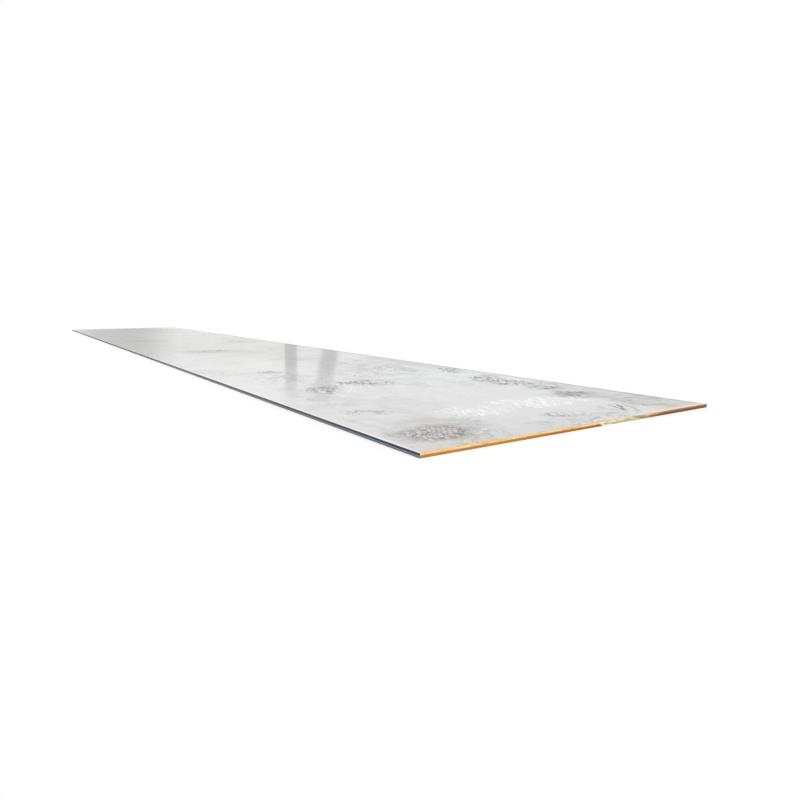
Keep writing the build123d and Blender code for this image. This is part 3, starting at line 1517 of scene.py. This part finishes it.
@dataclass(frozen=True)
class ChipFinish:
    """Loose chips of scale: as pale as the scale around them, with rust round their rims."""

    pale: RGB = srgb(211, 208, 204)
    grey: RGB = srgb(165, 161, 156)
    rust: RGB = srgb(122, 94, 72)
    dark_rust: RGB = srgb(72, 55, 44)

    def material(self) -> bpy.types.Material:
        """Lays up the chips' scale.

        Returns:
            The chips' material.
        """
        tree = ShaderTree.of_material("loose_scale")
        place = tree.place()
        tone = (place * (34.0, 34.0, 300.0)).noise(5.0, 0.65)
        fine = (place * (240.0, 240.0, 240.0)).noise(4.0, 0.6)
        scale = tree.ramp(tone, ((0.36, self.grey), (0.56, self.pale)))
        look = Look(place, scale, fine * 0.2 + 0.25, tone * 0.2 + 0.65, tone * 0.6 + 0.1)
        rim = tree.measure("rim") + (fine - 0.5) * 0.5
        rusty = tree.ramp(fine, ((0.4, self.dark_rust), (0.6, self.rust)))
        look.lay(rim.rises(0.55, 0.9), rusty, 0.8, 0.0, 0.0)
        look.raise_by(fine * (0.06 * MILLIMETRE))
        return look.finished()


@dataclass(frozen=True)
class Flag:
    """A grey panel beyond the plate that only its reflections show, and that fades out at its top."""

    x: float
    y: float
    width: float
    height: float
    tone: float
    lean_deg: float = 0.0
    soft_side: float = 0.0
    fade_from: float = 0.62

    def corners(self, eye: Sequence[float]) -> list[tuple[float, float, float]]:
        """The panel's corners. It stands on the floor, square to the line from the eye.

        Args:
            eye: Where the camera is.

        Returns:
            The four corners, two at the foot and two at the top.
        """
        away = Vector((self.x - eye[0], self.y - eye[1], 0.0)).normalized()
        across = Vector((away.y, -away.x, 0.0)) * (self.width / 2)
        foot = Vector((self.x, self.y, 0.0))
        shift = Vector((-away.y, away.x, 0.0)) * (self.height * math.tan(math.radians(self.lean_deg)))
        top = foot + shift + Vector((0.0, 0.0, self.height))
        return [tuple(foot - across), tuple(foot + across), tuple(top + across), tuple(top - across)]

    def material(self, name: str) -> bpy.types.Material:
        """A flat grey light that is clear towards the top, and at the sides where they are soft.

        Args:
            name: The material's name.

        Returns:
            The panel's material.
        """
        tree = ShaderTree.of_material(name)
        place = tree.place()
        shown = place.part("Z").falls(self.fade_from * self.height, self.height)
        if self.soft_side:
            per_metre = 2 / self.width
            aside = ((place - (self.x, self.y, 0.0)) * (per_metre, per_metre, 0.0)).length()
            shown = shown * aside.falls(1.0 - self.soft_side, 1.0)
        clear = tree.node("ShaderNodeBsdfTransparent", {}, {})
        grey = tree.node("ShaderNodeEmission", {}, {"Color": (self.tone,) * 3, "Strength": 1.0})
        return tree.finish(tree.mixed(shown, clear, grey))


@dataclass
class Studio:
    """A plain pale floor, soft light, and the camera at the photograph's viewing angle."""

    eye: tuple[float, float, float] = (7.789, -2.295, 0.592)
    heading_deg: float = 56.03
    pitch_deg: float = -9.40
    focal_px: float = 598.0
    picture_px: float = 800.0
    sensor_mm: float = 36.0
    floor_reach: float = 150.0
    floor_tone: float = 0.96
    floor_fade: tuple[float, float] = (0.4, 6.0)
    plate_half: tuple[float, float] = (6.0, 1.0)
    sky_fill: float = 0.52
    sun_level: float = 0.52
    sun_spread_deg: float = 35.0
    sun_from: tuple[float, float, float] = (0.55, -0.35, 0.80)
    flags: tuple[Flag, ...] = (
        Flag(-10.52, 5.745, 0.38, 2.9, 0.50, 1.5),
        Flag(-9.845, 7.102, 0.54, 3.0, 0.535, 13.0),
        Flag(-12.4, 0.9, 3.6, 1.7, 0.54, 0.0, 0.75),
        Flag(-16.0, 11.0, 60.0, 3.4, 0.90),
    )

    @staticmethod
    def panel(
        name: str, corners: Sequence[Sequence[float]], material: bpy.types.Material
    ) -> bpy.types.Object:
        """A flat four-sided panel, which isn't part of the object.

        Args:
            name: The panel's name.
            corners: Its four corners, in turn.
            material: Its material.

        Returns:
            The panel.
        """
        mesh = bpy.data.meshes.new(name)
        mesh.from_pydata(corners, [], [(0, 1, 2, 3)])
        mesh.materials.append(material)
        made = in_scene(name, mesh)
        return made

    def floor_material(self) -> bpy.types.Material:
        """Pale near the plate, and plain white further out to the camera and in reflections.

        Returns:
            The floor's material.
        """
        tree = ShaderTree.of_material("studio_floor")
        place = tree.place()
        lit = tree.node("ShaderNodeBsdfDiffuse", {}, {"Color": (self.floor_tone,) * 3})
        white = tree.node("ShaderNodeEmission", {}, {"Color": WHITE, "Strength": 1.0})
        beyond_end = (abs(place.part("X")) - self.plate_half[0]).at_least(0.0)
        beyond_edge = (abs(place.part("Y")) - self.plate_half[1]).at_least(0.0)
        far = (beyond_end + beyond_edge).rises(*self.floor_fade)
        return tree.finish(tree.mixed(far * tree.rays("Camera", "Glossy"), lit, white))

    def add_world(self) -> None:
        """A white surround that lights softly, and is plain white to the camera and in reflections."""
        world = bpy.data.worlds.new("studio")
        bpy.context.scene.world = world
        tree = ShaderTree(world)
        plain = tree.rays("Camera", "Glossy", "Transmission")
        strength = plain * (1.0 - self.sky_fill) + self.sky_fill
        tree.finish(tree.node("ShaderNodeBackground", {}, {"Color": WHITE, "Strength": strength}))

    def add_key(self) -> None:
        """One very wide soft light from above and in front, even over the whole floor."""
        towards = Vector(self.sun_from).normalized()
        lamp = bpy.data.lights.new("key", "SUN")
        lamp.energy = math.pi * self.sun_level / towards.z
        lamp.angle = math.radians(self.sun_spread_deg)
        key = in_scene("key", lamp)
        key.rotation_euler = towards.to_track_quat("Z", "Y").to_euler()
        key.visible_glossy = False

    def add_camera(self) -> None:
        """The camera, where the photograph's was, with the photograph's lens."""
        data = bpy.data.cameras.new("camera")
        data.sensor_width = self.sensor_mm
        data.lens = self.sensor_mm * self.focal_px / self.picture_px
        data.clip_end = 2 * self.floor_reach
        camera = in_scene("camera", data)
        camera.location = self.eye
        tilt = math.radians(90 + self.pitch_deg)
        camera.rotation_euler = (tilt, 0.0, math.radians(self.heading_deg))
        bpy.context.scene.camera = camera

    def build(self) -> None:
        """Sets up the floor, the panels, the lights, the camera and the plain view transform."""
        reach = self.floor_reach
        corners = [(-reach, -reach, 0.0), (reach, -reach, 0.0), (reach, reach, 0.0), (-reach, reach, 0.0)]
        self.panel("floor", corners, self.floor_material())
        for number, flag in enumerate(self.flags, 1):
            name = f"flag_{number}"
            panel = self.panel(name, flag.corners(self.eye), flag.material(name))
            panel.visible_camera = False
            panel.visible_diffuse = False
            panel.visible_shadow = False
        self.add_world()
        self.add_key()
        self.add_camera()
        bpy.context.scene.view_settings.view_transform = "Standard"


def report(piece: bpy.types.Object) -> None:
    """Logs a piece's name and its number of triangles."""
    triangles = sum(len(polygon.vertices) - 2 for polygon in piece.data.polygons)
    LOG.info("%s: %d triangles", piece.name, triangles)


def main() -> None:
    """Builds the plate, its chips and the studio."""
    logging.basicConfig(level=logging.INFO, format="%(name)s: %(message)s")
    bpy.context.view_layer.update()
    sizes = PlateSizes.from_frame()
    relief = PlateRelief(sizes)
    finishes = [ScaleFinish(sizes).material(), EdgeFinish().material(), EndFinish().material()]
    report(PlateSkin(sizes, relief, finishes).build())
    report(ScaleChips(relief, ChipFinish().material()).build())
    Studio().build()


if __name__ == "__main__":
    main()
